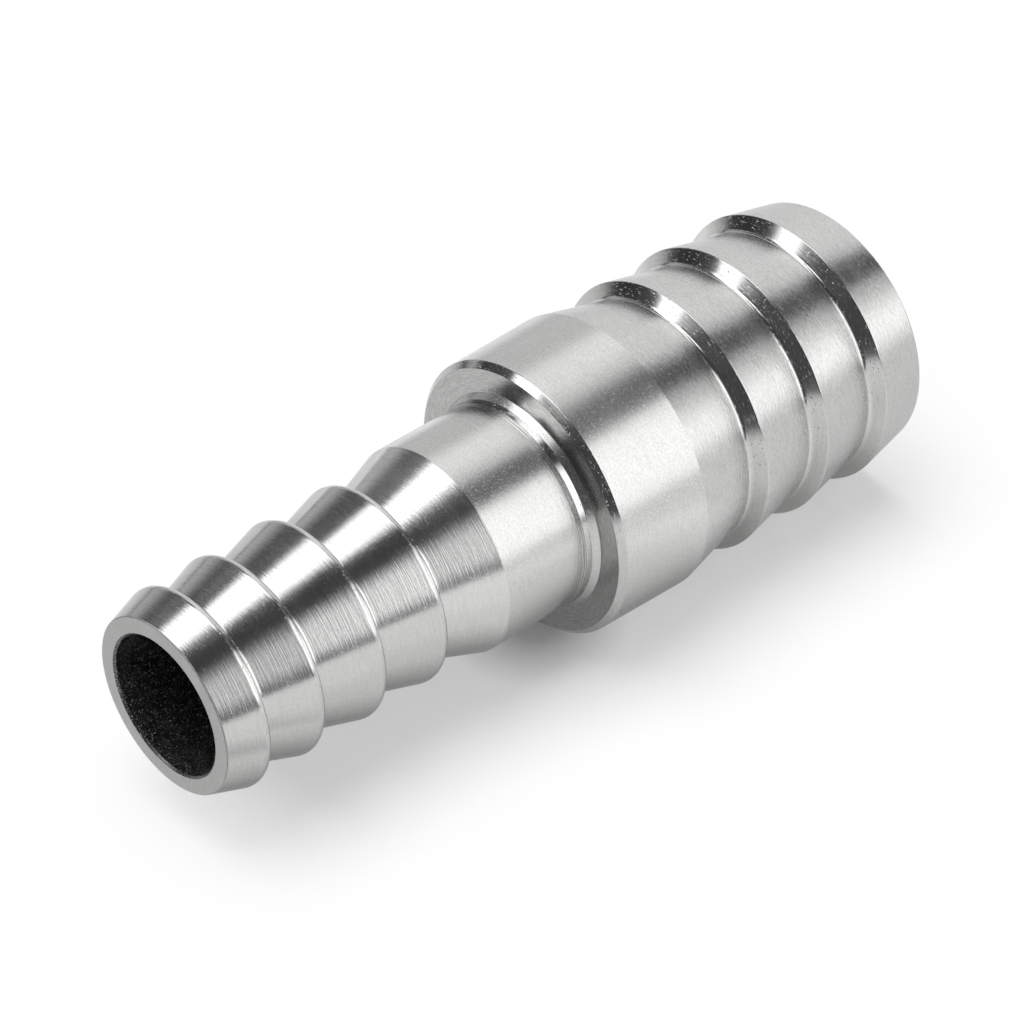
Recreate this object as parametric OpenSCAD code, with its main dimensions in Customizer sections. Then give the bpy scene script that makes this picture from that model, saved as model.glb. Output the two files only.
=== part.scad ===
// Hose barb reducer: a tube turned from one bar, with a large and a small hose tail on a shared collar.
// It stands on its large end; every height is measured up from that end, in millimetres.

/* [Large hose tail] */
// Diameter of the outside at the large end
large_end_diameter = 25.8; // [25:0.1:26.4]
// Diameter of the barb crests before their edge is rounded
large_crest_diameter = 28.1; // [27.6:0.1:29]
// Diameter at the foot of each barb
large_root_diameter = 25.2; // [24.2:0.1:25.4]
// Length from the large end to the first crest
large_end_length = 5.75; // [4.6:0.05:7]
// Distance from one crest to the next
large_pitch = 7.9; // [6.5:0.1:10]
// Length along the axis of the steep side of a barb
large_step_length = 0.95; // [0.4:0.05:1.4]
// Length of the cone that leads up to the collar
large_run_length = 7.2; // [5:0.1:11]
// Radius on the crest edge
large_crest_radius = 0.15; // [0.1:0.05:0.4]
// Radius in the foot of the steep side
large_root_radius = 0.2; // [0.1:0.05:0.4]
// Radius on the rim of the large end
large_rim_radius = 0.3; // [0.2:0.1:0.8]

/* [Collar] */
// Diameter where the collar meets the large tail
collar_back_diameter = 28.6; // [28.2:0.1:30]
// Diameter at the chamfer, hardly less than at the back
collar_front_diameter = 28.2; // [27.8:0.1:30]
// Length of the collar up to its chamfer
collar_length = 9.9; // [6:0.1:14]
// Width and height of the chamfer on the shoulder
collar_chamfer = 0.6; // [0.3:0.1:1.2]

/* [Stem] */
// Diameter of the plain stem
stem_diameter = 21; // [20.4:0.1:22]
// Length of the plain stem with its flare
stem_length = 10.7; // [6:0.1:16]
// Radius of the flare where the stem meets the shoulder
flare_radius = 1.5; // [1:0.1:2]
// Turn of the flare before it meets the flat shoulder, in degrees
flare_turn = 53; // [40:1:75]

/* [Small hose tail] */
// Diameter of the barb crests before their edge is rounded
small_crest_diameter = 20.3; // [19.9:0.1:20.8]
// Diameter at the foot of each barb
small_root_diameter = 16.5; // [16:0.1:17.2]
// Diameter of the outside at the small end
small_end_diameter = 17.7; // [17.2:0.1:18.4]
// Length of the cone that leads from the stem down to the first foot
small_lead_length = 6.3; // [5:0.1:9]
// Length of the barb nearest the stem
small_barb_a = 7.25; // [5.5:0.05:9]
// Length of the next barb towards the small end
small_barb_b = 7.15; // [5.5:0.05:9]
// Length of the barb behind the end barb
small_barb_c = 6.2; // [5.5:0.05:9]
// Length of the end barb
small_barb_d = 4.7; // [4.2:0.05:6]
// Length along the axis of the steep side of a barb
small_step_length = 0.65; // [0.3:0.05:1]
// Radius on the crest edge
small_crest_radius = 0.6; // [0.3:0.05:0.7]
// Radius in the foot of the steep side
small_root_radius = 0.4; // [0.2:0.05:0.6]

/* [Bore] */
// Diameter of the bore at the small end
small_bore_diameter = 14; // [12:0.1:14.4]
// Diameter of the bore at the large end
large_bore_diameter = 20; // [17:0.1:20.6]
// Depth of the large bore, up to where it starts to narrow
large_bore_depth = 33; // [24:0.5:36]
// Slope of the narrowing against the axis, in degrees
narrowing_angle = 45; // [30:1:60]
// Bevel on the mouth of each bore
mouth_bevel = 0.2; // [0.1:0.05:0.4]
// Bevel on the outer edge of the small end
end_bevel = 0.15; // [0.1:0.05:0.4]

/* [Hidden] */
$fn = 96;
arc_steps = 8;
large_barbs = 3;
// Heights of the large tail's features
run_foot = large_end_length + (large_barbs - 1) * large_pitch + large_step_length;
collar_back = run_foot + large_run_length;
collar_front = collar_back + collar_length;
shoulder = collar_front + collar_chamfer;
// Heights of the small tail's features
stem_top = shoulder + stem_length;
foot_a = stem_top + small_lead_length;
foot_b = foot_a + small_barb_a;
foot_c = foot_b + small_barb_b;
foot_d = foot_c + small_barb_c;
small_end = foot_d + small_barb_d;
small_feet = [foot_a, foot_b, foot_c, foot_d];
// Size of the flare
flare_rise = flare_radius * (1 - cos(flare_turn));
flare_height = flare_radius * sin(flare_turn);
flare_foot = stem_diameter / 2 + flare_rise;
narrowing_height = (large_bore_diameter - small_bore_diameter) / 2 / tan(narrowing_angle);

// Unit vector along v
function unit(v) = v / norm(v);

// Arc that rounds the corner b between its neighbours a and c
function corner(a, b, c, rad) =
    let (u = unit(a - b), w = unit(c - b), half = acos(u * w) / 2)
    let (mid = b + unit(u + w) * rad / sin(half), p = b + u * rad / tan(half), q = b + w * rad / tan(half))
    let (s = atan2(p.y - mid.y, p.x - mid.x), e = atan2(q.y - mid.y, q.x - mid.x))
    let (turn = e - s > 180 ? e - s - 360 : e - s < -180 ? e - s + 360 : e - s)
    [for (i = [0:arc_steps]) mid + rad * [cos(s + turn * i / arc_steps), sin(s + turn * i / arc_steps)]];

// Closed outline from corners given as radius, height and rounding
function rounded(pts) = let (n = len(pts), at = [for (p = pts) [p.x, p.y]])
    [for (i = [0:n - 1]) each pts[i].z > 0
        ? corner(at[(i + n - 1) % n], at[i], at[(i + 1) % n], pts[i].z)
        : [at[i]]];

// Crest and foot of each barb on the large tail
function large_outline() = [for (i = [0:large_barbs - 1]) let (h = large_end_length + i * large_pitch)
    each [[large_crest_diameter / 2, h, large_crest_radius],
          [large_root_diameter / 2, h + large_step_length, large_root_radius]]];

// Foot and crest of each barb on the small tail
function small_outline() = [for (h = small_feet)
    each [[small_root_diameter / 2, h, small_root_radius],
          [small_crest_diameter / 2, h + small_step_length, small_crest_radius]]];

// Flare from the flat shoulder into the stem
function flare_outline() = [for (i = [0:arc_steps]) let (t = flare_turn * (1 - i / arc_steps))
    [stem_diameter / 2 + flare_radius * (1 - cos(t)), shoulder + flare_height - flare_radius * sin(t), 0]];

// Whole section of the wall: up the outside, then down the bore
function section() = concat(
    [[large_end_diameter / 2, 0, large_rim_radius]],
    large_outline(),
    [[collar_back_diameter / 2, collar_back, 0],
     [collar_front_diameter / 2, collar_front, 0],
     [collar_front_diameter / 2 - collar_chamfer, shoulder, 0]],
    flare_outline(),
    [[stem_diameter / 2, stem_top, 0]],
    small_outline(),
    [[small_end_diameter / 2, small_end - end_bevel, 0],
     [small_end_diameter / 2 - end_bevel, small_end, 0],
     [small_bore_diameter / 2 + mouth_bevel, small_end, 0],
     [small_bore_diameter / 2, small_end - mouth_bevel, 0],
     [small_bore_diameter / 2, large_bore_depth + narrowing_height, 0],
     [large_bore_diameter / 2, large_bore_depth, 0],
     [large_bore_diameter / 2, mouth_bevel, 0],
     [large_bore_diameter / 2 + mouth_bevel, 0, 0]]);

// The turned tube itself
module reducer_body() {
    color([0.78, 0.78, 0.79])
        rotate_extrude() polygon(rounded(section()));
}

reducer_body();
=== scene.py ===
from math import radians

import bpy
import numpy as np
from mathutils import Matrix, Vector


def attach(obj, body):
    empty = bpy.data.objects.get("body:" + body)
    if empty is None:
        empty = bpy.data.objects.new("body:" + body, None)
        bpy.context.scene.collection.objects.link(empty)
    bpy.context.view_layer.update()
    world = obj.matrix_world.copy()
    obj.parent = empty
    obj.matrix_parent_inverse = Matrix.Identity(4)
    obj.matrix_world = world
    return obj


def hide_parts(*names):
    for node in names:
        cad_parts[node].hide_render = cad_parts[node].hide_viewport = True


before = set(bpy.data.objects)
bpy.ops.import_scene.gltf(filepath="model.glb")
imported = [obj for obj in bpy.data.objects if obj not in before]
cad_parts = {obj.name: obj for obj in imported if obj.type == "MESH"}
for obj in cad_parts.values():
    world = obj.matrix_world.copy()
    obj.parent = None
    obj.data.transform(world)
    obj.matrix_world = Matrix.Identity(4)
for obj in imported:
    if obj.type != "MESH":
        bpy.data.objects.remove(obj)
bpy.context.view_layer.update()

# Camera
# The picture shows the fitting lying on its collar, from over its small end, with a long lens.
# The fitting itself stands on its large end, so the camera is turned instead, and the ground of
# the picture is a plane beside the part.
SENSOR_MM, LENS_MM = 36.0, 156.2
CAMERA_PLACE = Vector((0.26436, -0.23502, 0.25360))
CAMERA_BACK = Vector((0.64192, -0.56879, 0.51420)).normalized()
# Away from the ground that the part lies on
GROUND_UP = Vector((1.0, 0.0, 0.0))

camera_data = bpy.data.cameras.new("camera")
camera_data.sensor_width = SENSOR_MM
camera_data.lens = LENS_MM
camera_data.clip_start = 0.01
camera_data.clip_end = 20.0
camera = bpy.data.objects.new("camera", camera_data)
camera_right = GROUND_UP.cross(CAMERA_BACK).normalized()
camera_up = CAMERA_BACK.cross(camera_right)
turn = Matrix((camera_right, camera_up, CAMERA_BACK)).transposed()
camera.matrix_world = Matrix.Translation(CAMERA_PLACE) @ turn.to_4x4()
bpy.context.collection.objects.link(camera)
bpy.context.scene.camera = camera
bpy.context.scene.view_settings.view_transform = "Standard"

# Ground
# A white sweep of matt board under the fitting. It only shows from its upper side, so the part
# can be seen from beneath, and it keeps the soft shadow that the part throws.
# Y is negative on the camera's side, and Z runs from the large end to the small end.
GROUND_HEIGHT = -0.0143
GROUND_REACH = 1.6
# The board ends a little way beyond the small end
GROUND_FRONT_EDGE = 0.22
GROUND_WHITE = "#FAFAFA"

# Painted shade and painted light on the board, in what the metal mirrors of it: it is darker close beside
# the part than further off
BESIDE_NEAR, BESIDE, BESIDE_WHITE = 0.012, 0.040, 0.80
# Painted light: the camera's side is open, so the board is painted brighter further out
OPEN_FAR, OPEN_MORE = 0.15, 0.05
# Painted shade: the far side is darker, from the large end on
BACK_NEAR, BACK_FAR, BACK_LESS = 0.018, 0.050, -0.24
# Painted light: a brighter patch under the large tail, where light creeps in
UNDER_MIDDLE, UNDER_HALF, UNDER_WHITE = 0.013, 0.013, 1.25
# Painted shade: behind the large end it is darker
BEHIND_FAR, BEHIND, BEHIND_WHITE = -0.080, -0.010, 0.85
# Painted shade: darkest in the corner behind the small end, measured along CORNER_WAY
CORNER_WAY = (0.0, 1.0, 1.0)
CORNER_NEAR, CORNER_FAR, CORNER_WHITE = 0.14, 0.42, 0.20
# Painted shade: dark past the small end on the camera's side, measured along BEFORE_WAY
BEFORE_WAY = (0.0, 0.8, 1.0)
BEFORE_NEAR, BEFORE_FAR, BEFORE_WHITE = 0.050, 0.082, 0.15

# Share of the board's white that comes from light falling on it, and so takes the shadow:
# to the eye, and in the metal's mirror image
SEEN_SHADOW, MIRRORED_SHADOW = 0.58, 0.81
# Painted shade: round the spot where the shoulder's edge touches the board, the even white is left out, so
# nearly all the white there is such light and the real shadow shows darker
TOUCH_PLACE = (GROUND_HEIGHT, -0.002, 0.040)
TOUCH_NEAR, TOUCH_FAR, TOUCH_WHITE = 0.002, 0.009, 0.04
# Painted light: past the small end more even white is added, so that the shadow ends sooner
END_NEAR, END_FAR, END_PAINTED_LIGHT = 0.070, 0.086, 0.45


def linear(hex_colour):
    """Colour #RRGGBB in sRGB as linear red, green, blue and alpha 1."""
    parts = [int(hex_colour[i : i + 2], 16) / 255 for i in (1, 3, 5)]
    return [c / 12.92 if c <= 0.04045 else ((c + 0.055) / 1.055) ** 2.4 for c in parts] + [1.0]


def node(tree, kind, sockets=(), output=0, **settings):
    """Adds a node of that kind and returns one of its outputs.

    sockets gives the inputs, in their order or by name or place, a value or the output that
    feeds them.
    """
    new = tree.nodes.new(kind)
    for name, value in settings.items():
        setattr(new, name, value)
    for key, value in sockets.items() if isinstance(sockets, dict) else enumerate(sockets):
        if isinstance(value, bpy.types.NodeSocket):
            tree.links.new(value, new.inputs[key])
        else:
            new.inputs[key].default_value = value
    return new.outputs[output] if new.outputs else None


def course(tree, value, first, *steps, blend="LINEAR"):
    """A level that is first at low values and then runs to the level of each step in turn.

    A step is the value where it starts, the value where it ends, and its level.
    """
    total = first
    for start, end, level in steps:
        sockets = {"Value": value, "From Min": start, "From Max": end, "To Max": level - first}
        change = node(tree, "ShaderNodeMapRange", sockets, interpolation_type=blend)
        total = node(tree, "ShaderNodeMath", [total, change], operation="ADD")
        first = level
    return total


ground_mesh = bpy.data.meshes.new("ground")
side_ways, end_ways = np.meshgrid([GROUND_REACH, -GROUND_REACH], [-GROUND_REACH, GROUND_FRONT_EDGE])
corners = np.stack([np.full(4, GROUND_HEIGHT), side_ways.ravel(), end_ways.ravel()], axis=1)
ground_mesh.from_pydata(corners.tolist(), [], [(0, 2, 3, 1)])
ground = bpy.data.objects.new("ground", ground_mesh)
bpy.context.collection.objects.link(ground)

# Matt painted board: no gloss, and an even white that the soft shadow breaks, with the painted shade and
# painted light set out above
board = bpy.data.materials.new("matt_white_board")
board.use_nodes = True
board_tree = board.node_tree
board_tree.nodes.clear()
board_place = node(board_tree, "ShaderNodeTexCoord", output="Object")
board_y = node(board_tree, "ShaderNodeSeparateXYZ", [board_place], "Y")
board_z = node(board_tree, "ShaderNodeSeparateXYZ", [board_place], "Z")
corner_way, before_way = [
    node(board_tree, "ShaderNodeVectorMath", [board_place, way], "Value", operation="DOT_PRODUCT")
    for way in (CORNER_WAY, BEFORE_WAY)
]
touch = node(board_tree, "ShaderNodeVectorMath", [board_place, TOUCH_PLACE], "Value", operation="DISTANCE")
beside = node(board_tree, "ShaderNodeMath", [board_y], operation="ABSOLUTE")
under = node(board_tree, "ShaderNodeMath", [board_z, UNDER_MIDDLE], operation="SUBTRACT")
under = node(board_tree, "ShaderNodeMath", [under], operation="ABSOLUTE")

# Brightness of the board in the metal's mirror image, with painted shade and painted light by place
painted_mirror_level = course(board_tree, beside, BESIDE_WHITE, (BESIDE_NEAR, BESIDE, 1.0))
open_side = course(board_tree, board_y, OPEN_MORE, (-OPEN_FAR, -BESIDE, 0.0))
far_side = course(board_tree, board_y, 0.0, (BACK_NEAR, BACK_FAR, BACK_LESS))
far_ahead = course(board_tree, board_z, 0.0, (0.0, BACK_FAR, 1.0))
far_side = node(board_tree, "ShaderNodeMath", [far_side, far_ahead], operation="MULTIPLY")
for more in (open_side, far_side):
    painted_mirror_level = node(board_tree, "ShaderNodeMath", [painted_mirror_level, more], operation="ADD")
past_end = course(board_tree, before_way, 1.0, (BEFORE_NEAR, BEFORE_FAR, BEFORE_WHITE))
off_side = course(board_tree, board_y, 0.0, (-BESIDE, -BESIDE / 2, 1.0))
past_end = node(board_tree, "ShaderNodeMath", [past_end, off_side], operation="MAXIMUM")
for painted_dimming in (
    course(board_tree, under, UNDER_WHITE, (0.0, UNDER_HALF, 1.0)),
    course(board_tree, board_z, BEHIND_WHITE, (BEHIND_FAR, BEHIND, 1.0)),
    course(board_tree, corner_way, 1.0, (CORNER_NEAR, CORNER_FAR, CORNER_WHITE)),
    past_end,
):
    painted_mirror_level = node(board_tree, "ShaderNodeMath", [painted_mirror_level, painted_dimming], operation="MULTIPLY")

glossy = node(board_tree, "ShaderNodeLightPath", output="Is Glossy Ray")
camera_ray = node(board_tree, "ShaderNodeLightPath", output="Is Camera Ray")
through_ray = node(board_tree, "ShaderNodeLightPath", output="Is Transmission Ray")
board_level = node(board_tree, "ShaderNodeMix", {0: glossy, 2: 1.0, 3: painted_mirror_level})
sockets = {0: linear(GROUND_WHITE)[:3], "Scale": board_level}
board_white = node(board_tree, "ShaderNodeVectorMath", sockets, operation="SCALE")
lit = node(board_tree, "ShaderNodeBsdfDiffuse", {"Color": board_white})
white = node(board_tree, "ShaderNodeEmission", {"Color": (1.0, 1.0, 1.0, 1.0), "Strength": board_level})

# Share of the white that the board gives whatever falls on it: less round the touching spot, which paints
# shade, and more past the small end, which paints light
seen = course(board_tree, touch, TOUCH_WHITE, (TOUCH_NEAR, TOUCH_FAR, 1.0 - SEEN_SHADOW))
painted_end_light = course(board_tree, board_z, 0.0, (END_NEAR, END_FAR, END_PAINTED_LIGHT))
seen = node(board_tree, "ShaderNodeMath", [seen, painted_end_light], operation="ADD")
passing = node(board_tree, "ShaderNodeMath", [camera_ray, through_ray], operation="MAXIMUM")
mirrored = node(board_tree, "ShaderNodeMath", [glossy, 1.0 - MIRRORED_SHADOW], operation="MULTIPLY")
share = node(board_tree, "ShaderNodeMath", [passing, seen, mirrored], operation="MULTIPLY_ADD")
top = node(board_tree, "ShaderNodeMixShader", [share, lit, white])
clear = node(board_tree, "ShaderNodeBsdfTransparent")
underside = node(board_tree, "ShaderNodeNewGeometry", output="Backfacing")
both = node(board_tree, "ShaderNodeMixShader", [underside, top, clear])
node(board_tree, "ShaderNodeOutputMaterial", {"Surface": both})
ground_mesh.materials.append(board)

# Studio
# A strip softbox hangs over the part, slightly askew, and a wide one stands on the camera's
# side. A narrow black flag between them and the unlit room past the small end are what put the
# sharp dark bands into bright metal. A dimmer bar carries the strip on over the large end, a
# spill of light lies over the small end, a glow comes from low beyond that end, and a thin gap
# in the far wall lets light in.

# The ceiling is one unit up, and is read at s towards the camera's side and t towards the large
# end. The walls are read in degrees round the part, which are 0 overhead and 90 on the camera's
# side, and in how far a ray points along it, from -1 past the small end to 1 past the large end.
# A course is a first level, and then where each next step starts, where it ends and its level.
STRIP = dict(middle=-0.35, slant=0.54, half=0.345, widens=-0.05, edge=0.09, reach=(1.0, (0.15, 0.42, 0.0)))
STRIP_LIGHT = 2.30
DIM_REACH = (0.0, (0.30, 0.60, 1.0), (0.90, 1.50, 0.0))
DIM = dict(middle=-0.49, slant=-0.20, half=0.40, widens=0.0, edge=0.25, reach=DIM_REACH)
DIM_LIGHT = 1.35
SPILL_REACH = (0.0, (-1.30, -0.95, 1.0), (-0.60, -0.35, 0.0))
SPILL = dict(middle=-0.25, slant=0.0, half=0.34, widens=0.0, edge=0.09, reach=SPILL_REACH)
SPILL_LIGHT = 2.30
FLAG = dict(middle=0.34, slant=-0.12, half=0.24, widens=0.05, edge=0.09, reach=(1.0,))
# The flag is a little paler on its way to the large end
FLAG_LIGHT = (0.07, (0.15, 0.55, 0.20), (0.90, 1.50, 0.07))
GLOW_SIDE = (0.0, (-2.70, -2.20, 1.0), (-1.32, -0.68, 0.0))
GLOW_REACH = (0.0, (-4.00, -3.40, 1.0), (-2.75, -2.40, 0.0))
GLOW_LIGHT = 1.15
# The ceiling ends just over the horizon
HORIZON, HORIZON_SOFT = 0.02, 0.10

# The far wall, brighter towards the large end
WALL_LIGHT = (0.05, (-0.36, -0.08, 0.56), (0.15, 0.85, 1.03))
# High up it is unlit, except towards the large end
POCKET_ROUND = (0.0, (-86.0, -60.0, 1.0))
POCKET_ALONG = (1.0, (0.22, 0.42, 0.0))
POCKET_LIGHT = 0.11
# The gap in the far wall is where along is GAP_LOW + GAP_RISE x the degrees round
GAP_LOW, GAP_RISE, GAP_HALF, GAP_EDGE = 0.17, 0.005, 0.04, 0.03
GAP_ROUND = (0.0, (-105.0, -90.0, 1.0), (-52.0, -42.0, 0.0))
GAP_LIGHT = 0.65
# The room on the camera's side
FRONT_ROUND = (0.0, (15.0, 30.0, 1.0))
FRONT_LIGHT = (0.09, (-0.60, -0.15, 0.22))
# The wide softbox stands there between a foot and a head in degrees, each slanted along the part
WIDE_FOOT, WIDE_FOOT_SLANT, WIDE_FOOT_EDGE = 80.0, 25.0, 8.0
WIDE_HEAD, WIDE_HEAD_SLANT, WIDE_HEAD_EDGE = 38.0, -20.0, 9.0
WIDE_LIGHT = (0.0, (-0.34, -0.22, 0.65), (0.00, 0.09, 2.10), (0.22, 0.45, 1.42), (0.60, 0.80, 1.55))
# It thins out at its head towards the large end
THIN_ALONG = (0.0, (0.60, 0.85, 1.0))
THIN_ROUND = (0.75, (30.0, 72.0, 0.0))
# Even light on matt surfaces, and the white that the eye sees round the part
FLOOR_LIGHT = 0.37
BACKDROP_WHITE = 1.0

world = bpy.data.worlds.new("studio")
bpy.context.scene.world = world
world.use_nodes = True
sky_tree = world.node_tree
sky_tree.nodes.clear()


def soft(value, first, *steps):
    """A course of light in the studio, with soft turns."""
    return course(sky_tree, value, first, *steps, blend="SMOOTHSTEP")


def slanted(way, slant, middle):
    """The line middle + slant x way."""
    return node(sky_tree, "ShaderNodeMath", [way, slant, middle], operation="MULTIPLY_ADD")


def overhead_bar(middle, slant, half, widens, edge, reach):
    """Share of a straight bar on the ceiling: 1 inside it, running to 0 over its soft edge.

    At t its middle is at s = middle + slant x t and its half width is half + widens x t. reach
    is its course along t.
    """
    middle_line = slanted(ceiling_t, slant, middle)
    off = node(sky_tree, "ShaderNodeMath", [ceiling_s, middle_line], operation="SUBTRACT")
    off = node(sky_tree, "ShaderNodeMath", [off], operation="ABSOLUTE")
    inside = node(sky_tree, "ShaderNodeMath", [slanted(ceiling_t, widens, half), off], operation="SUBTRACT")
    bar = soft(inside, 0.0, (-edge, edge, 1.0))
    for limit in (soft(height, 0.0, (HORIZON, HORIZON_SOFT, 1.0)), soft(ceiling_t, *reach)):
        bar = node(sky_tree, "ShaderNodeMath", [bar, limit], operation="MULTIPLY")
    return bar


def crossed(one, other):
    """Share where both shares hold: their product."""
    return node(sky_tree, "ShaderNodeMath", [one, other], operation="MULTIPLY")


def lay(under, share, level):
    """Lays a light of that level over what is under it, by its share."""
    change = node(sky_tree, "ShaderNodeMath", [level, under], operation="SUBTRACT")
    return node(sky_tree, "ShaderNodeMath", [share, change, under], operation="MULTIPLY_ADD")


sky = node(sky_tree, "ShaderNodeTexCoord", output="Generated")
height = node(sky_tree, "ShaderNodeSeparateXYZ", [sky], "X")
sideways = node(sky_tree, "ShaderNodeSeparateXYZ", [sky], "Y")
sideways = node(sky_tree, "ShaderNodeMath", [sideways, -1.0], operation="MULTIPLY")
along = node(sky_tree, "ShaderNodeSeparateXYZ", [sky], "Z")
along = node(sky_tree, "ShaderNodeMath", [along, -1.0], operation="MULTIPLY")
over = node(sky_tree, "ShaderNodeMath", [height, HORIZON], operation="MAXIMUM")
ceiling_s = node(sky_tree, "ShaderNodeMath", [sideways, over], operation="DIVIDE")
ceiling_t = node(sky_tree, "ShaderNodeMath", [along, over], operation="DIVIDE")
around = node(sky_tree, "ShaderNodeMath", [sideways, height], operation="ARCTAN2")
around = node(sky_tree, "ShaderNodeMath", [around], operation="DEGREES")

pocket = crossed(soft(around, *POCKET_ROUND), soft(along, *POCKET_ALONG))
gap_off = node(sky_tree, "ShaderNodeMath", [along, slanted(around, GAP_RISE, GAP_LOW)], operation="SUBTRACT")
gap_off = node(sky_tree, "ShaderNodeMath", [gap_off], operation="ABSOLUTE")
gap_across = soft(gap_off, 1.0, (GAP_HALF - GAP_EDGE, GAP_HALF + GAP_EDGE, 0.0))
gap = crossed(gap_across, soft(around, *GAP_ROUND))
room = lay(soft(along, *WALL_LIGHT), pocket, POCKET_LIGHT)
room = lay(room, gap, GAP_LIGHT)
room = lay(room, soft(around, *FRONT_ROUND), soft(along, *FRONT_LIGHT))

head_line = slanted(along, WIDE_HEAD_SLANT, WIDE_HEAD)
foot_line = slanted(along, WIDE_FOOT_SLANT, WIDE_FOOT)
below_head = node(sky_tree, "ShaderNodeMath", [around, head_line], operation="SUBTRACT")
above_foot = node(sky_tree, "ShaderNodeMath", [foot_line, around], operation="SUBTRACT")
below_head = soft(below_head, 0.0, (-WIDE_HEAD_EDGE, WIDE_HEAD_EDGE, 1.0))
above_foot = soft(above_foot, 0.0, (-WIDE_FOOT_EDGE, WIDE_FOOT_EDGE, 1.0))
thinned = crossed(soft(along, *THIN_ALONG), soft(around, *THIN_ROUND))
kept = node(sky_tree, "ShaderNodeMath", [1.0, thinned], operation="SUBTRACT")
wide = crossed(crossed(crossed(below_head, above_foot), kept), soft(along, *WIDE_LIGHT))

studio_light = node(sky_tree, "ShaderNodeMath", [room, wide], operation="ADD")
for share, light in (
    (crossed(soft(ceiling_s, *GLOW_SIDE), soft(ceiling_t, *GLOW_REACH)), GLOW_LIGHT),
    (overhead_bar(**DIM), DIM_LIGHT),
    (overhead_bar(**SPILL), SPILL_LIGHT),
    (overhead_bar(**STRIP), STRIP_LIGHT),
    (overhead_bar(**FLAG), soft(ceiling_t, *FLAG_LIGHT)),
):
    studio_light = lay(studio_light, share, light)

# Only mirror images show the studio. The eye sees a white backdrop, and matt surfaces get an
# even light from all sides.
glossy = node(sky_tree, "ShaderNodeLightPath", output="Is Glossy Ray")
camera_ray = node(sky_tree, "ShaderNodeLightPath", output="Is Camera Ray")
through_ray = node(sky_tree, "ShaderNodeLightPath", output="Is Transmission Ray")
passing = node(sky_tree, "ShaderNodeMath", [camera_ray, through_ray], operation="MAXIMUM")
plain, reflected, backdrop = [
    node(sky_tree, "ShaderNodeBackground", {"Color": (1.0, 1.0, 1.0, 1.0), "Strength": strength})
    for strength in (FLOOR_LIGHT, studio_light, BACKDROP_WHITE)
]
lit_sky = node(sky_tree, "ShaderNodeMixShader", [glossy, plain, reflected])
seen_sky = node(sky_tree, "ShaderNodeMixShader", [passing, lit_sky, backdrop])
node(sky_tree, "ShaderNodeOutputWorld", {"Surface": seen_sky})

# One soft lamp straight over the part throws its shadow close round it
LAMP_FROM = Vector((1.0, 0.13, 0.08)).normalized()
LAMP_STRENGTH, LAMP_SPREAD = 2.2, radians(45)
lamp_data = bpy.data.lights.new("shadow_lamp", "SUN")
lamp_data.energy = LAMP_STRENGTH
lamp_data.angle = LAMP_SPREAD
lamp = bpy.data.objects.new("shadow_lamp", lamp_data)
lamp.rotation_mode = "QUATERNION"
lamp.rotation_quaternion = LAMP_FROM.to_track_quat("Z", "Y")
lamp.visible_glossy = False
bpy.context.collection.objects.link(lamp)

# Turned tube
# The whole fitting is one tube turned from stainless bar: a large hose tail, a collar, a plain
# stem and a small hose tail on one bore. Sizes are in mm, and the main ones are the solid's.
# The flare is drawn as the two cones that it shows. Roundings are the eye's, so the feet of the
# large barbs are rounder than the solid's and its sharp edges are just broken.
SEGMENTS = 384
LARGE_END, LARGE_CREST, LARGE_FOOT = 25.8 / 2, 28.1 / 2, 25.2 / 2
LARGE_RIM_ROUND, LARGE_CREST_ROUND, LARGE_FOOT_ROUND = 0.3, 0.10, 0.5
FIRST_CREST, LARGE_PITCH, LARGE_BARBS, LARGE_STEP, LARGE_RUN = 5.75, 7.9, 3, 0.95, 7.2
COLLAR_BACK, COLLAR_FRONT, COLLAR_LENGTH = 28.6 / 2, 28.2 / 2, 9.9
CHAMFER, CHAMFER_ROUND = 0.6, 0.12
STEM, STEM_LENGTH, STEM_ROUND = 21.0 / 2, 10.7, 0.2
FLARE_RISE, FLARE_LENGTH = 0.6, 1.2
# The upper, shallow cone of the flare
NECK_RISE, NECK_LENGTH = 0.12, 0.6
# Two fine grooves, like scratches, just above the flare
GROOVE_HEIGHTS = 0.12, 0.44
GROOVE_DEPTH, GROOVE_WIDTH, GROOVE_ROUND = 0.022, 0.10, 0.01
SMALL_END, SMALL_CREST, SMALL_FOOT = 17.7 / 2, 20.3 / 2, 16.5 / 2
SMALL_CREST_ROUND, SMALL_FOOT_ROUND = 0.6, 0.4
LEAD_LENGTH, SMALL_BARBS, SMALL_STEP = 6.3, [7.25, 7.15, 6.2, 4.7], 0.65
END_BEVEL, END_ROUND = 0.1, 0.1
SMALL_BORE, LARGE_BORE, LARGE_BORE_DEPTH, MOUTH = 14.0 / 2, 20.0 / 2, 33.0, 0.2
# Rounding of a sharp edge, and steps in an arc of that rounding and of a larger one
EDGE, EDGE_STEPS, ARC_STEPS = 0.05, 3, 5
# Length of the spare face beside each arc, which keeps the flats flat where they meet it
SPARE = 0.08
# Arcs rounder than this are as smooth as the steep sides of the barbs
SMOOTH_ROUND = 0.2

LARGE_CRESTS = [FIRST_CREST + LARGE_PITCH * i for i in range(LARGE_BARBS)]
COLLAR_FOOT = LARGE_CRESTS[-1] + LARGE_STEP + LARGE_RUN
COLLAR_TOP = COLLAR_FOOT + COLLAR_LENGTH
SHOULDER = COLLAR_TOP + CHAMFER
FLARE_TOP = SHOULDER + FLARE_LENGTH
STEM_TOP = SHOULDER + STEM_LENGTH
*SMALL_FEET, TOP = np.cumsum([STEM_TOP + LEAD_LENGTH] + SMALL_BARBS)
NARROWING_TOP = LARGE_BORE_DEPTH + LARGE_BORE - SMALL_BORE

# Finish of the face that follows each corner
BARB, LEAD, SATIN, TAIL, STEP, SHOULDER_FACE, FACE, BORE = range(8)

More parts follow.
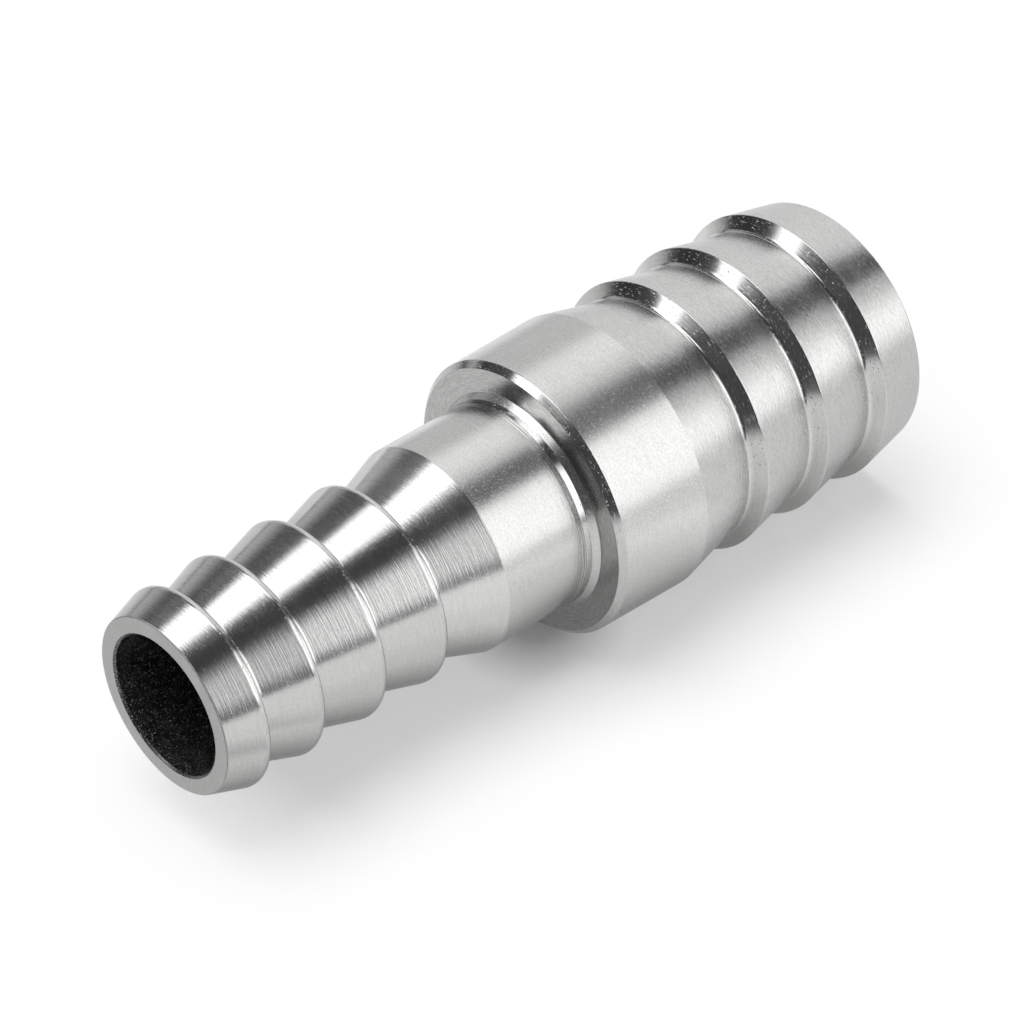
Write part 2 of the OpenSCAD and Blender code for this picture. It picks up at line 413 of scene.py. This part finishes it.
# Corners of the wall's section, up the outside and down the bore: radius, height, rounding, finish
section = [(LARGE_END, 0.0, LARGE_RIM_ROUND, TAIL)]
for crest in LARGE_CRESTS:
    section += [
        (LARGE_CREST, crest, LARGE_CREST_ROUND, STEP),
        (LARGE_FOOT, crest + LARGE_STEP, LARGE_FOOT_ROUND, TAIL),
    ]
section += [
    (COLLAR_BACK, COLLAR_FOOT, EDGE, SATIN),
    (COLLAR_FRONT, COLLAR_TOP, CHAMFER_ROUND, STEP),
    (COLLAR_FRONT - CHAMFER, SHOULDER, EDGE, SHOULDER_FACE),
    (STEM + FLARE_RISE, SHOULDER, EDGE, SATIN),
    (STEM + NECK_RISE, FLARE_TOP - NECK_LENGTH, EDGE, STEP),
    (STEM, FLARE_TOP, STEM_ROUND, SATIN),
]
for groove in GROOVE_HEIGHTS:
    section += [
        (STEM, FLARE_TOP + groove, GROOVE_ROUND, SATIN),
        (STEM - GROOVE_DEPTH, FLARE_TOP + groove + GROOVE_WIDTH / 2, GROOVE_ROUND, SATIN),
        (STEM, FLARE_TOP + groove + GROOVE_WIDTH, GROOVE_ROUND, SATIN),
    ]
section += [(STEM, STEM_TOP, EDGE, LEAD)]
for foot in SMALL_FEET:
    section += [
        (SMALL_FOOT, foot, SMALL_FOOT_ROUND, STEP),
        (SMALL_CREST, foot + SMALL_STEP, SMALL_CREST_ROUND, BARB),
    ]
section += [
    (SMALL_END, TOP - END_BEVEL, END_ROUND, FACE),
    (SMALL_END - END_BEVEL, TOP, EDGE, FACE),
    (SMALL_BORE + MOUTH, TOP, EDGE, BORE),
    (SMALL_BORE, TOP - MOUTH, EDGE, BORE),
    (SMALL_BORE, NARROWING_TOP, EDGE, BORE),
    (LARGE_BORE, LARGE_BORE_DEPTH, EDGE, BORE),
    (LARGE_BORE, MOUTH, EDGE, BORE),
    (LARGE_BORE + MOUTH, 0.0, EDGE, FACE),
]


def rounded(corners):
    """Closed section in which an arc tangent to both sides takes the place of each corner.

    The arc's centre is on the corner's bisector, at rounding / sin(half the corner's angle), and
    it touches the sides at rounding / tan(half the angle). A spare point follows it on each side.
    """
    points, finishes = [], []
    count = len(corners)
    for i, (r, z, rounding, finish) in enumerate(corners):
        here = np.array([r, z])
        before = np.array(corners[i - 1][:2]) - here
        after = np.array(corners[(i + 1) % count][:2]) - here
        u, w = before / np.hypot(*before), after / np.hypot(*after)
        half = np.arccos(np.clip(u @ w, -1, 1)) / 2
        cut = rounding / np.tan(half)
        centre = here + (u + w) / np.hypot(*(u + w)) * rounding / np.sin(half)
        start = np.arctan2(*(here + u * cut - centre)[::-1])
        swing = np.arctan2(*(here + w * cut - centre)[::-1]) - start
        swing = (swing + np.pi) % (2 * np.pi) - np.pi
        steps = ARC_STEPS if rounding > EDGE else EDGE_STEPS
        t = start + swing * np.linspace(0, 1, steps + 1)
        arc = centre + rounding * np.stack([np.cos(t), np.sin(t)], axis=1)
        reach = cut + min(SPARE, rounding)
        points += [here + u * reach, *arc, here + w * reach]
        arc_finish = STEP if rounding > SMOOTH_ROUND else finish
        finishes += [corners[i - 1][3]] + [arc_finish] * steps + [finish, finish]
    return np.array(points), np.array(finishes)


def turned(points, segments):
    """The section turned about Z: x = r cos a, y = r sin a, in equal steps of a and closed."""
    a = np.linspace(0, 2 * np.pi, segments, endpoint=False)
    r, z = points[:, :1] / 1000, points[:, 1:] / 1000
    grid = np.stack([r * np.cos(a), r * np.sin(a), z + 0 * a], axis=-1)
    i, j = np.meshgrid(np.arange(len(points)), np.arange(segments), indexing="ij")
    i2, j2 = (i + 1) % len(points), (j + 1) % segments
    quads = np.stack([i * segments + j, i * segments + j2, i2 * segments + j2, i2 * segments + j], axis=-1)
    return grid.reshape(-1, 3), quads.reshape(-1, 4)


outline, finishes = rounded(section)
vertices, quads = turned(outline, SEGMENTS)
mesh = bpy.data.meshes.new("reducer_tube")
mesh.vertices.add(len(vertices))
mesh.vertices.foreach_set("co", vertices.ravel())
mesh.loops.add(quads.size)
mesh.loops.foreach_set("vertex_index", quads.ravel())
mesh.polygons.add(len(quads))
mesh.polygons.foreach_set("loop_start", np.arange(len(quads)) * 4)
mesh.polygons.foreach_set("material_index", np.repeat(finishes, SEGMENTS))
mesh.polygons.foreach_set("use_smooth", np.ones(len(quads), bool))
mesh.update()
mesh.validate()

# How far the tool has run along the section, in mm, for the rings that it leaves
side_length = np.hypot(*(np.roll(outline, -1, axis=0) - outline).T)
tool_run = np.concatenate([[0.0], np.cumsum(side_length)[:-1]])
along_section = mesh.attributes.new("along_section", "FLOAT", "POINT")
along_section.data.foreach_set("value", np.repeat(tool_run, SEGMENTS))
tube = bpy.data.objects.new("reducer_tube", mesh)
bpy.context.collection.objects.link(tube)

# Marks on the steel, in mm. The way round is measured at this radius.
ROUND_RADIUS = 13.0
# Nicks and specks are drawn this coarse, because real ones are too fine to show
SPOT_LENGTH = 1 / 6
# Patches with a slightly different roughness
CLOUD_LENGTH, CLOUD_WAVER = 2.857, 0.03
# Noise values between which each mark comes up
RING_FROM, RING_TO = 0.35, 0.65
SPECKLE_FROM, SPECKLE_TO = 0.35, 0.60
PAINTED_GLINT_FROM, PAINTED_GLINT_TO = 0.60, 0.65
NICK_FROM, NICK_TO = 0.63, 0.74
CLOUD_FROM, CLOUD_TO = 0.30, 0.70
# Pale matt colour of the specks that are painted glints
PAINTED_GLINT_WHITE = "#F4F4F2"


def turned_steel(
    name, colour, roughness, anisotropy, feed, groove, dash, streak, stretch, speckle, nick, painted_glint=0.0
):
    """Stainless steel off the lathe, with rings where the tool went round and spots between them.

    A ring is feed wide, groove high and broken into dashes. A spot is SPOT_LENGTH wide, stretch
    times as long and nick high. streak and speckle are how much rings and spots darken the
    steel, and painted_glint is how much of a spot's top is a dull pale speck: a painted glint.
    """
    steel = bpy.data.materials.new(name)
    steel.use_nodes = True
    tree = steel.node_tree
    tree.nodes.clear()
    place = node(tree, "ShaderNodeTexCoord", output="Object")
    radial = node(tree, "ShaderNodeVectorMath", [place, (1.0, 1.0, 0.0)], operation="MULTIPLY")
    radial = node(tree, "ShaderNodeVectorMath", [radial], operation="NORMALIZE")
    run = node(tree, "ShaderNodeAttribute", output="Fac", attribute_name="along_section")

    def wound(round_length, run_length, noise_roughness):
        """Noise wound round the part, from cells of those two lengths in mm."""
        scales = (ROUND_RADIUS / round_length, ROUND_RADIUS / round_length, 0.0)
        lie = node(tree, "ShaderNodeVectorMath", [radial, scales], operation="MULTIPLY")
        climb = node(tree, "ShaderNodeMath", [run, 1.0 / run_length], operation="MULTIPLY")
        climb = node(tree, "ShaderNodeCombineXYZ", {"Z": climb})
        vector = node(tree, "ShaderNodeVectorMath", [lie, climb], operation="ADD")
        sockets = {"Vector": vector, "Scale": 1.0, "Detail": 2.0, "Roughness": noise_roughness}
        return node(tree, "ShaderNodeTexNoise", sockets)

    rings = wound(dash, feed, 0.6)
    spots = wound(SPOT_LENGTH * stretch, SPOT_LENGTH, 0.7)
    sockets = {"Vector": place, "Scale": 1000 / CLOUD_LENGTH, "Detail": 3.0, "Roughness": 0.55}
    clouds = node(tree, "ShaderNodeTexNoise", sockets)

    ring_dark = course(tree, rings, 1.0 - streak, (RING_FROM, RING_TO, 1.0))
    spot_dark = course(tree, spots, 1.0 - speckle, (SPECKLE_FROM, SPECKLE_TO, 1.0))
    dark = node(tree, "ShaderNodeMath", [ring_dark, spot_dark], operation="MULTIPLY")
    sockets = {0: linear(colour)[:3], "Scale": dark}
    tint = node(tree, "ShaderNodeVectorMath", sockets, operation="SCALE")
    metallic = 1.0
    # Painted glints: dull pale matt specks on the spots' tops stand in for glints
    if painted_glint:
        specks = course(tree, spots, 0.0, (PAINTED_GLINT_FROM, PAINTED_GLINT_TO, painted_glint))
        sockets = {0: specks, 6: tint, 7: linear(PAINTED_GLINT_WHITE)}
        tint = node(tree, "ShaderNodeMix", sockets, 2, data_type="RGBA")
        metallic = node(tree, "ShaderNodeMath", [1.0, specks], operation="SUBTRACT")
    rough = course(tree, clouds, roughness - CLOUD_WAVER, (CLOUD_FROM, CLOUD_TO, roughness + CLOUD_WAVER))

    sockets = {"Strength": 1.0, "Distance": groove / 1000, "Height": rings}
    grooved = node(tree, "ShaderNodeBump", sockets)
    nicks = course(tree, spots, 0.0, (NICK_FROM, NICK_TO, 1.0))
    sockets = {"Strength": 1.0, "Distance": nick / 1000, "Height": nicks, "Normal": grooved}
    nicked = node(tree, "ShaderNodeBump", sockets)
    sockets = {
        "Base Color": tint,
        "Metallic": metallic,
        "Roughness": rough,
        "Anisotropic": anisotropy,
        "Anisotropic Rotation": 0.25,
        "Normal": nicked,
        "Tangent": node(tree, "ShaderNodeTangent", direction_type="RADIAL", axis="Z"),
    }
    surface = node(tree, "ShaderNodeBsdfPrincipled", sockets)
    node(tree, "ShaderNodeOutputMaterial", {"Surface": surface})
    return steel


# One material for each finish, in the order of BARB to BORE. The rings are as wide as the tool's
# feed, and grooves and nicks are drawn deeper than a fine cut leaves them, so that they show.
for material in (
    # Finely turned barbs: bright bands of light that run round, with faint rings in them
    turned_steel(
        "bright_turned_stainless", "#CDCDCC", roughness=0.19, anisotropy=0.65, feed=0.15, groove=0.018,
        dash=4.333, streak=0.07, stretch=2.0, speckle=0.10, nick=0.003,
    ),
    # The lead cone, cut a little rougher: the same bands, wider, and paler from painted light, a lighter
    # colour for the stronger light that falls on this cone
    turned_steel(
        "coarse_turned_stainless_painted_light", "#D8D8D7", roughness=0.23, anisotropy=0.78, feed=0.15, groove=0.022,
        dash=4.333, streak=0.08, stretch=2.0, speckle=0.10, nick=0.003,
    ),
    # Collar and stem: an even satin sheen with small nicks from handling
    turned_steel(
        "satin_turned_stainless", "#CFCFCE", roughness=0.25, anisotropy=0.20, feed=0.18, groove=0.010,
        dash=2.167, streak=0.05, stretch=1.3, speckle=0.16, nick=0.007,
    ),
    # The large tail: a satin sheen broken by plain rings of short dashes
    turned_steel(
        "turned_stainless_tail", "#CFCFCE", roughness=0.26, anisotropy=0.30, feed=0.16, groove=0.024,
        dash=1.3, streak=0.11, stretch=2.0, speckle=0.14, nick=0.006,
    ),
    # Steep sides and feet of the barbs, cut by a form tool: smooth, nearly a mirror, with nicks
    turned_steel(
        "form_tool_stainless", "#CACAC9", roughness=0.14, anisotropy=0.40, feed=0.20, groove=0.006,
        dash=2.6, streak=0.07, stretch=3.0, speckle=0.10, nick=0.022,
    ),
    # The shoulder, faced in one pass: shining, with short dark dashes round it
    turned_steel(
        "faced_shoulder", "#C8C8C7", roughness=0.16, anisotropy=0.60, feed=0.12, groove=0.010,
        dash=0.9286, streak=0.22, stretch=4.0, speckle=0.12, nick=0.006,
    ),
    # The end faces, faced square: matt and even
    turned_steel(
        "faced_stainless", "#C8C8C7", roughness=0.50, anisotropy=0.0, feed=0.20, groove=0.002,
        dash=3.25, streak=0.03, stretch=1.0, speckle=0.14, nick=0.010,
    ),
    # The drilled bore: uneven, with a dark colour that is painted shade of the deep bore, and dull pale
    # specks that are painted glints
    turned_steel(
        "drilled_stainless_painted_shade_and_glints", "#6A6A6A", roughness=0.30, anisotropy=0.0, feed=0.30, groove=0.006,
        dash=6.5, streak=0.10, stretch=1.0, speckle=0.30, nick=0.050, painted_glint=1.0,
    ),
):
    mesh.materials.append(material)

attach(tube, "root")
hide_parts("reducer_body")
